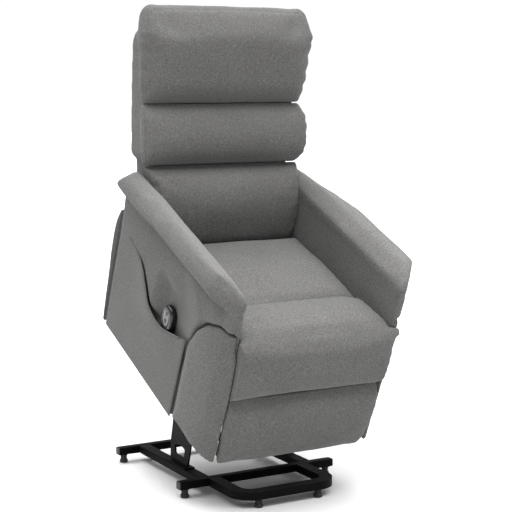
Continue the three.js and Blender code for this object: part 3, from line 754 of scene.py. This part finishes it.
def side_seam(piece, levels, front, half, seed, top=None, **settings):
    """The seam between a pillow's front panel and its gusset, on both sides, and over the top if given."""
    right = [(-half(level), front(level), level) for level in levels]
    left = [(half(level), front(level), level) for level in reversed(levels)]
    if top is None:
        for number, path in enumerate((right, left)):
            sew(piece, path, BACK, seed=seed + number, **settings)
        return
    sew(piece, right + top + left, BACK, seed=seed, **settings)


press_pillow(head, UPPER_JOINT, None, 1, 2.2)
press_pillow(middle, LOWER_JOINT, UPPER_JOINT, 2, 1.8)
press_pillow(lumbar, None, LOWER_JOINT, 3, 1.8)

head_top = [(-274, -132, 722), (-225, -126, 728), (0, -122, 731), (225, -126, 728), (274, -132, 722)]
side_seam(head, [446, 470, 520, 570, 620, 670, 704],
          lambda s: np.interp(s, [420, 470, 540, 650, 720], [-92, -112, -128, -148, -136]),
          lambda s: np.interp(s, [420, 500, 650, 706], [297, 303, 303, 292]), 1, head_top,
          depth=1.6, pucker=0.25, pitch=30)
side_seam(middle, [236, 270, 310, 350, 390, 406],
          lambda s: np.interp(s, [220, 250, 300, 380, 417], [-92, -112, -122, -112, -88]),
          lambda s: np.interp(s, [220, 300, 410], [291, 302, 296]), 3, depth=3.2, pucker=1.0, pitch=34)
side_seam(lumbar, [10, 60, 110, 160, 200],
          lambda s: np.interp(s, [0, 60, 110, 160, 217], [-124, -138, -140, -128, -92]),
          lambda s: np.interp(s, [0, 150, 200], [257, 257, 270]), 5, depth=2.6, pucker=0.8, pitch=34)


def scalloped_edge(piece, sign, low, high, pitch, height, seed):
    """Gathers down one edge of a pillow, where its cover is pulled in by the seam."""
    here = inside(points_of(piece), BACK)
    beside = np.clip((here[:, 0] * sign - 250) / 45, 0, 1) ** 2
    span = np.clip((here[:, 2] - low) / 30, 0, 1) * np.clip((high - here[:, 2]) / 30, 0, 1)
    wave = np.abs(np.sin(here[:, 2] * math.pi / pitch + 0.5 * np.sin(here[:, 2] / 37 + seed))) - 0.6
    here[:, 0] += sign * beside * span * wave * height
    here[:, 1] -= beside * span * wave * height * 0.4
    move_points(piece, outside(here, BACK))


scalloped_edge(head, 1, 425, 646, 44, 4.6, 1)
scalloped_edge(head, -1, 425, 640, 58, 2.6, 2)
scalloped_edge(middle, 1, 232, 408, 52, 2.6, 3)
for piece in (head, middle, lumbar):
    finish_soft(piece, "backrest", [piece.name.replace("_cover", "")])

# -------------------- seat and footrest pads

CUSHION_HALF, ARM_FRONT = 260.4, -402.0
SEAT_SEAM_Y, SPLIT_Y = -207.0, -403.0


def press_seat(piece, seed):
    """Keeps the seat between the arms and off the frame, and adds slow unevenness."""
    roughen(piece, (150, seed, 1.8), (50, seed + 5, 0.7))
    here = inside(points_of(piece), SEAT)
    behind = here[:, 1] > ARM_FRONT - 1
    squeezed = np.sign(here[:, 0]) * soft_limit(np.abs(here[:, 0]), CUSHION_HALF, 5)
    here[:, 0] = np.where(behind, squeezed, here[:, 0])
    here[:, 1] = soft_limit(here[:, 1], 213, 4)
    near_side = -soft_limit(-here[:, 0], 267.6, 3)
    here[:, 0] = np.where((here[:, 0] < 0) & ~behind, near_side, here[:, 0])
    move_points(piece, outside(here, SEAT))


press_seat(seat, 7)
across = [(x, SEAT_SEAM_Y + 3 * math.sin(x / 90), 486) for x in range(-250, 251, 50)]
sew(seat, across, SEAT, depth=6.5, width=4.0, pucker=0.9, pitch=42, reach=34, seed=7)
for sign in (-1, 1):
    edge = [(sign * 258, y, 478) for y in range(190, -391, -58)]
    sew(seat, edge, SEAT, depth=2.0, width=3.0, pucker=0.7, pitch=40, seed=8 + sign)
    front_edge = [(sign * (266 + 14 * (z - 290) / 190), -432, z) for z in range(296, 480, 30)]
    sew(seat, front_edge, SEAT, depth=2.4, width=3.0, pucker=0.8, pitch=36, seed=11 + sign)


def split_seat():
    """Cuts the seat pad in two where the footrest leaves the seat, with a hairline gap."""
    halves = {}
    for name, keep_front in (("seat_cushion_cover", False), ("footrest_upper_cover", True)):
        build = bmesh.new()
        build.from_mesh(seat.data)
        offset = SPLIT_Y + (-0.15 if keep_front else 0.15)
        origin = outside([(0, offset, 0)], SEAT)[0]
        normal = SEAT.to_3x3() @ Vector((0, 1, 0))
        bmesh.ops.bisect_plane(build, geom=[*build.verts, *build.edges, *build.faces],
                               plane_co=origin, plane_no=normal,
                               clear_outer=keep_front, clear_inner=not keep_front)
        rim = [edge for edge in build.edges if edge.is_boundary]
        for edge in rim:
            edge.smooth = False
        bmesh.ops.triangle_fill(build, edges=rim, use_beauty=True)
        halves[name] = from_bmesh(name, build)
    bpy.data.objects.remove(seat)
    return halves


halves = split_seat()


def finish_half(piece, body, replaced):
    """Like any soft piece, but with its cut face shaded flat."""
    finish_soft(piece, body, replaced)
    plane = (SEAT.to_3x3() @ Vector((0, 1, 0))).normalized()
    for face in piece.data.polygons:
        if abs(face.normal.dot(plane)) > 0.9995 and len(face.vertices) == 3:
            face.use_smooth = False


finish_half(halves["seat_cushion_cover"], "seat_body", ["seat_cushion", "seat_front_cushion"])
finish_half(halves["footrest_upper_cover"], "footrest", ["footrest_upper_pad"])

roughen(lower_pad, (130, 9, 1.6), (45, 4, 0.6))
here = inside(points_of(lower_pad), SEAT)
here[:, 2] = soft_limit(here[:, 2], 284.4, 5)
move_points(lower_pad, outside(here, SEAT))
for sign in (-1, 1):
    pad_edge = [(sign * (258 + 7 * math.sin((z - 46) / 76)), -428 - 14 * math.sin((z - 46) / 76), z)
                for z in range(62, 276, 26)]
    sew(lower_pad, pad_edge, SEAT, depth=2.4, width=3.0, pucker=0.8, pitch=36, seed=14 + sign)
finish_soft(lower_pad, "footrest", ["footrest_lower_pad"])

# -------------------- handset pocket

POCKET_OUT, POCKET_BULGE = 310.4, 8.5
handset_points = solid_points("handset_body", SEAT)
handset_low, handset_high = handset_points.min(0), handset_points.max(0)
HANDSET = (handset_low + handset_high) / 2
HANDSET_WIDTH, HANDSET_HEIGHT = handset_high[1:] - handset_low[1:]


def pocket_outline():
    """The outline of the pocket's front panel in (y, z), read from the frame, in order round it."""
    here = solid_points("handset_pocket_panel", SEAT)
    outer = here[here[:, 0] < here[:, 0].min() + 0.5][:, 1:]
    unique = np.unique(outer.round(2), axis=0)
    edges = set()
    mesh = frame["nodes"]["handset_pocket_panel"].data
    corners = {tuple(point): number for number, point in enumerate(unique)}
    for face in mesh.polygons:
        flat = [here[index] for index in face.vertices]
        if all(point[0] < here[:, 0].min() + 0.5 for point in flat):
            ring = [corners[tuple(point[1:].round(2))] for point in flat]
            for first, second in zip(ring, ring[1:] + ring[:1]):
                edges ^= {(min(first, second), max(first, second))}
    links = {}
    for first, second in edges:
        links.setdefault(first, []).append(second)
        links.setdefault(second, []).append(first)
    start = min(links)
    order = [start, links[start][0]]
    while True:
        following = [number for number in links[order[-1]] if number != order[-2]]
        if not following or following[0] == start:
            break
        order.append(following[0])
    return unique[order]


def pocket_mouth(outline):
    """The stretch of the outline that is the pocket's open edge."""
    inner = [point for point in outline if 285 < point[1] < 452 and -165 < point[0] < 335]
    return np.array(sorted(inner, key=lambda point: point[0]))


def slackness(y):
    """How loose the pocket is along its open edge, 0 to 1: most at its middle."""
    return np.clip(1 - ((y - 70) / 190) ** 2, 0, 1)


def filled_outline(outline, spacing=7.0):
    """An outline filled with an even net of triangles: flat points and faces."""
    low, high = outline.min(0), outline.max(0)
    ring = [Vector(point) for point in outline]
    inner = []
    for row, z in enumerate(np.arange(low[1] + spacing, high[1], spacing)):
        for y in np.arange(low[0] + spacing * (0.5 + 0.5 * (row % 2)), high[0], spacing):
            inner.append(Vector((y, z)))
    border = [(number, (number + 1) % len(ring)) for number in range(len(ring))]
    flat, _, faces, *_ = delaunay_2d_cdt(ring + inner, border, [list(range(len(ring)))], 2, 1e-4)
    return np.array(flat), faces


def thin_shell(name, flat, faces, x_outer, thickness):
    """A closed shell: the net at x_outer in the seat's frame, and again a thickness further in."""
    used = sorted({index for face in faces for index in face})
    build = bmesh.new()
    near, far = ({index: build.verts.new(outside([(x[index], *flat[index])], SEAT)[0]) for index in used}
                 for x in (x_outer, x_outer + thickness))
    counted = {}
    for face in faces:
        build.faces.new([near[index] for index in face])
        build.faces.new([far[index] for index in reversed(face)])
        for first, second in zip(face, list(face[1:]) + [face[0]]):
            key = (min(first, second), max(first, second))
            counted[key] = counted.get(key, 0) + 1
    for (first, second), times in counted.items():
        if times == 1:
            build.faces.new([near[first], near[second], far[second], far[first]])
    return from_bmesh(name, build)


def make_pocket(outline, mouth):
    flat, faces = filled_outline(outline)
    gap, _ = along_path(flat, mouth)
    slack = slackness(flat[:, 0])
    bulge = POCKET_BULGE * slack * np.exp(-(gap / 75) ** 2)
    wrinkle = 0.9 * np.sin(flat[:, 0] / 23 + flat[:, 1] / 60) * np.exp(-gap / 40) * slack
    border_gap, _ = along_path(flat, np.vstack((outline, outline[:1])))
    rounded = 2.6 * (1 - np.clip(border_gap / 7, 0, 1)) ** 2
    x_outer = -(POCKET_OUT + bulge + wrinkle - rounded)
    thickness = 3.2 * np.minimum(1.0, 0.45 + border_gap / 8)
    piece = thin_shell("handset_pocket_cover", flat, faces, x_outer, thickness)
    finish_soft(piece, "seat_body", ["handset_pocket_panel"])


def make_hem(mouth):
    line = smooth_path(mouth[::2])
    x = -(POCKET_OUT - 1.4 + POCKET_BULGE * slackness(line[:, 0]))
    hem = tube_mesh("handset_pocket_hem", outside(np.column_stack((x, line)), SEAT), 2.6 * MM)
    finish_soft(hem, "seat_body", [])


# -------------------- arms

ARM_INNER, BOLSTER_INNER = 262.0, 272.0
BOLSTER_FLARE = 3.4


def recess(here, mouth):
    """How far the right arm's outer face is let in, in mm: under the pocket and round the handset."""
    gap, _ = along_path(here[:, 1:], mouth)
    edge = np.interp(here[:, 1], mouth[:, 0], mouth[:, 1])
    below = np.where(here[:, 2] < edge, gap, -gap)
    slack = eased((225 - here[:, 1]) / 110) * eased((here[:, 1] + 130) / 70)
    pushed = 6.5 * eased((below + 5) / 9) + 15 * slack * eased((below + 9) / 16)
    away = np.hypot(np.maximum(np.abs(here[:, 1] - HANDSET[1]) - HANDSET_WIDTH / 2 - 5, 0),
                    np.maximum(np.abs(here[:, 2] - HANDSET[2] - 12) - HANDSET_HEIGHT / 2 - 17, 0))
    reach = 66 + 80 * eased((HANDSET[1] + 40 - here[:, 1]) / 130)
    dimple = 27.5 * (0.6 * eased(1.12 - away / reach) + 0.4 * np.clip(1.12 - away / reach, 0, 1))
    return np.maximum(pushed, np.minimum(dimple, 27.5))


def finish_bolster(side, sign):
    """Keeps a bolster off the seat's side, and lets its front lean in a little towards the footrest."""
    bolster = bolsters[side]
    roughen(bolster, (90, 20 + sign, 1.0))
    here = inside(points_of(bolster), SEAT)
    sideways = here[:, 0] * sign
    flare = BOLSTER_FLARE * eased((-404 - here[:, 1]) / 8)
    limit = BOLSTER_INNER - flare
    leaning = sideways - flare * eased(1 - (sideways - BOLSTER_INNER) / 20)
    here[:, 0] = sign * np.where(sideways > limit, leaning, limit)
    move_points(bolster, outside(here, SEAT))
    finish_soft(bolster, "seat_body", [f"arm_front_bolster_{side}"])


def finish_arm(side, sign, mouth):
    arm = arms[side]
    here = inside(points_of(arm), SEAT)
    if side == "right":
        outer = eased((-here[:, 0] - 286) / 20) * (here[:, 2] < 570)
        here[:, 0] += outer * recess(here, mouth)
    here[:, 0] = sign * -soft_limit(-here[:, 0] * sign, -(ARM_INNER + 0.2), 4)
    overhang = np.clip(np.abs(here[:, 0]) - 296, 0, 60) * eased((here[:, 1] + 40) / 260)
    here[:, 2] -= 0.6 * overhang * eased((here[:, 2] - 590) / 30)
    shoulder = eased((np.abs(here[:, 0]) - 320) / 26) * eased((140 - here[:, 1]) / 160)
    here[:, 2] += (15 * shoulder - 3) * eased((here[:, 2] - 600) / 45)
    move_points(arm, outside(here, SEAT))
    roughen(arm, (150, 24 + sign, 1.4), (50, 27 + sign, 0.5))
    crease = [(sign * 314, y, 574) for y in range(-330, 341, 67)]
    sew(arm, crease, SEAT, depth=5.0, width=6.0, pucker=0.5, pitch=52, seed=30 + sign)
    finish_soft(arm, "seat_body", arm_nodes(side), ARM_FABRIC_PAINTED_LIGHT)


outline = pocket_outline()
mouth = pocket_mouth(outline)
make_pocket(outline, mouth)
for side, sign in SIDES:
    finish_bolster(side, sign)
    finish_arm(side, sign, mouth)
make_hem(mouth)

# -------------------- handset


def puck(name, centre, half_y, half_z, layers, power=2.5, count=72, place=SEAT, hollow=False):
    """A closed rounded disc or, if hollow, a ring. It faces along the frame's x axis.
    layers are (x, share of the full outline)."""
    build = bmesh.new()
    rings = []
    for x, share in layers:
        ring = []
        for step in range(count):
            turn = 2 * math.pi * step / count
            y = math.copysign(abs(math.cos(turn)) ** (2 / power), math.cos(turn)) * half_y * share
            z = math.copysign(abs(math.sin(turn)) ** (2 / power), math.sin(turn)) * half_z * share
            ring.append(build.verts.new(outside([(centre[0] + x, centre[1] + y, centre[2] + z)], place)[0]))
        rings.append(ring)
    for first, second in zip(rings, rings[1:] + rings[:1] if hollow else rings[1:]):
        for step in range(count):
            following = (step + 1) % count
            build.faces.new([first[step], first[following], second[following], second[step]])
    if not hollow:
        build.faces.new(list(reversed(rings[0])))
        build.faces.new(rings[-1])
    piece = from_bmesh(name, build)
    smooth_shaded(piece)
    return piece


def finish_hard(piece, body, replaced, material):
    piece.data.materials.clear()
    piece.data.materials.append(material)
    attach(piece, body)
    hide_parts(*replaced)


def make_handset():
    """The shell and its oval face, with a well in both for each key, and the domed keys."""
    half_y, half_z = HANDSET_WIDTH / 2 + 3, HANDSET_HEIGHT / 2 + 1
    shell = puck("handset_shell", HANDSET, half_y, half_z, [
        (-13.4, 0.05), (-13.4, 0.80), (-13.1, 0.845), (-12.2, 0.90), (-10.4, 0.95), (-7.6, 0.985),
        (-3.0, 1.0), (3.0, 0.995), (6.4, 0.965), (8.8, 0.91), (10.0, 0.85), (10.4, 0.79), (10.4, 0.05)])
    face = puck("handset_face", HANDSET + (0, 0, 10), 18, 27, [
        (-13.42, 0.05), (-13.42, 0.99), (-13.8, 1.0), (-14.1, 0.97), (-14.2, 0.92), (-14.2, 0.05)],
        power=2.15)
    keys = {}
    for name in ("handset_button_raise", "handset_button_lower"):
        key_points = solid_points(name, SEAT)
        low, high = key_points.min(0), key_points.max(0)
        middle_point = (low + high) / 2
        radius = (high[2] - low[2]) / 2
        well = puck("well", (HANDSET[0], *middle_point[1:]), radius + 0.5, radius + 0.5,
                    [(-17, 1), (-5.9, 1)], power=2, count=40)
        for piece in (shell, face):
            modify(piece, "BOOLEAN", object=well, operation="DIFFERENCE", solver="EXACT")
            apply_modifiers(piece)
        bpy.data.objects.remove(well)
        keys[name] = puck(name + "_cap", (HANDSET[0], *middle_point[1:]), radius, radius, [
            (-7.2, 0.05), (-7.2, 1), (-14.3, 1), (-14.9, 0.93), (-15.2, 0.75), (-15.35, 0.4), (-15.4, 0.05)],
            power=2, count=40)
    finish_hard(shell, "handset", ["handset_body"], GLOSS)
    finish_hard(face, "handset", [], FACE)
    for name, key in keys.items():
        finish_hard(key, name, [name], KEYS)


make_handset()

# -------------------- rear panel and back shell


def make_cover(name, nodes, body, voxel, seed, seams=(), place=SEAT):
    piece = solid_copy(name, nodes, 0.0, voxel)
    relax(piece, 3)
    roughen(piece, (160, seed, 1.6), (55, seed + 1, 0.5))
    for number, path in enumerate(seams):
        sew(piece, path, place, depth=2.2, width=4.0, pucker=0.6, pitch=38, seed=seed + number)
    finish_soft(piece, body, nodes)
    return piece


rear_seams = [[(sign * 262, 405 + 8 * math.sin(z / 150), z) for z in range(60, 471, 40)] for sign in (-1, 1)]
rear = make_cover("rear_panel_cover", ["rear_panel"], "seat_body", 4.5, 41, seams=rear_seams)
# Painted shade: the rear panel's faces that point sideways get the darker weave, for the shade on the sides
# turned away from the light.
rear.data.materials.append(SIDE_SHADE_WEAVE)
for face in rear.data.polygons:
    face.material_index = int(abs(face.normal.x) > 0.55)
shell_seams = [[(sign * 228, 44, s) for s in range(100, 661, 40)] for sign in (-1, 1)]
shell_seams.append([(x, 46, 250) for x in range(-228, 229, 38)])
make_cover("back_shell_cover", ["back_shell"], "backrest", 5.0, 43, seams=shell_seams, place=BACK)

# -------------------- rivets, end caps, welds and collars

# Profiles: (mm outwards, share of the full outline), and for the collar (mm along, mm off the tube).
DOME = [(0.1, 1), (0.9, 0.99), (1.5, 0.88), (1.9, 0.66), (2.1, 0.35), (2.15, 0.05)]
END_CAP = [(0.1, 1), (2.0, 1), (2.8, 0.97), (3.2, 0.90), (3.3, 0.6), (3.3, 0.1)]
COLLAR = [(0, 0.3), (0, 2.4), (1.2, 3.2), (9.8, 3.2), (11, 2.4), (11, 0.3)]


def rivet(name, node, y, z, side, outward, radius):
    """A domed rivet head on a flat face of a node: on its outer face, or on its inner one."""
    across = solid_points(node)[:, 0]
    facing = side * outward
    x = across.max() if facing > 0 else across.min()
    rivet_head = puck(name, (x, y, z), radius, radius, [(facing * step, share) for step, share in DOME],
                      power=2, count=28, place=WORLD)
    finish_hard(rivet_head, frame["nodes"][node]["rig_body"], [], LINK_STEEL)


def rivet_pair(joint_name, first, second, side_name, side, radius=11):
    """Rivet heads on both ends of a pivot: outside the outermost link and inside the innermost one."""
    _, y, z = (value / MM for value in joint_named(joint_name)["pos_m"])
    reach = {node: np.abs(solid_points(node)[:, 0]).max() for node in (first, second)}
    outer, inner = sorted((first, second), key=lambda node: -reach[node])
    rivet(f"rivet_{joint_name}_{side_name}_outer", outer, y, z, side, 1, radius)
    rivet(f"rivet_{joint_name}_{side_name}_inner", inner, y, z, side, -1, radius)


def make_end_caps(bar):
    """Plastic caps on both ends of a crossbar."""
    points = solid_points(bar)
    low, high = points.min(0), points.max(0)
    centre, half = (low + high) / 2, (high - low) / 2
    for side, sign in SIDES:
        cap = puck(f"{bar}_cap_{side}", (sign * half[0] + centre[0], *centre[1:]), half[1] - 0.6,
                   half[2] - 0.6, [(sign * step, share) for step, share in END_CAP],
                   power=9, count=64, place=WORLD)
        finish_hard(cap, "base", [], PLASTIC)


def make_welds(side):
    """Beads of weld along the outer and inner foot of a tower."""
    tower = solid_points(f"lift_tower_{side}")
    foot = tower[tower[:, 2] < tower[:, 2].min() + 2]
    faces = sorted((tower[:, 0].min(), tower[:, 0].max()), key=abs, reverse=True)
    for face, x in zip(("outer", "inner"), faces):
        path = [(x + 0.5 * math.sin(y * 1.7), y, foot[:, 2].min() + 1.2 + 0.4 * math.sin(y * 2.3))
                for y in np.arange(foot[:, 1].min() + 4, foot[:, 1].max() - 3, 2.2)]
        weld = tube_mesh(f"tower_weld_{side}_{face}", outside(path, WORLD), 2.6 * MM, sides=10)
        finish_hard(weld, "base", [], STEEL)


def make_collars():
    """Two plastic collars round the open end of the actuator's tube."""
    along, sideways = Vector(joint_named("actuator_stroke")["axis"]).normalized(), Vector((1, 0, 0))
    turn = Matrix((along, sideways, along.cross(sideways))).transposed().to_4x4()
    actuator = Matrix.Translation(joint_named("actuator_tilt")["pos_m"]) @ turn @ WORLD
    housing = solid_points("actuator_housing", actuator)
    end = housing[:, 0].max()
    section = housing[housing[:, 0] > end - 3][:, 1:]
    middle_point = (section.min(0) + section.max(0)) / 2
    radius = (section.max(0) - section.min(0)).max() / 2
    for number, back in enumerate((13, 60)):
        collar = puck(f"actuator_collar_{number + 1}", (end - back, *middle_point), radius, radius,
                      [(step, 1 + off / radius) for step, off in COLLAR],
                      power=2, count=48, place=actuator, hollow=True)
        finish_hard(collar, "actuator_housing", [], PLASTIC)


for side, sign in SIDES:
    tower, front_arm, rear_arm = f"lift_tower_{side}", f"front_lift_arm_{side}", f"rear_lift_arm_{side}"
    knee, reach_link = f"footrest_knee_link_{side}", f"footrest_reach_link_{side}"
    rivet_pair("lift", tower, front_arm, side, sign)
    rivet_pair(f"{rear_arm}_swing", tower, rear_arm, side, sign)
    rivet_pair("seat_tilt", f"lift_plate_{side}", front_arm, side, sign)
    rivet_pair(f"footrest_knee_{side}", knee, reach_link, side, sign, 8)
for bar in ("base_front_crossbar", "base_rear_crossbar"):
    make_end_caps(bar)
for side, _ in SIDES:
    make_welds(side)
make_collars()
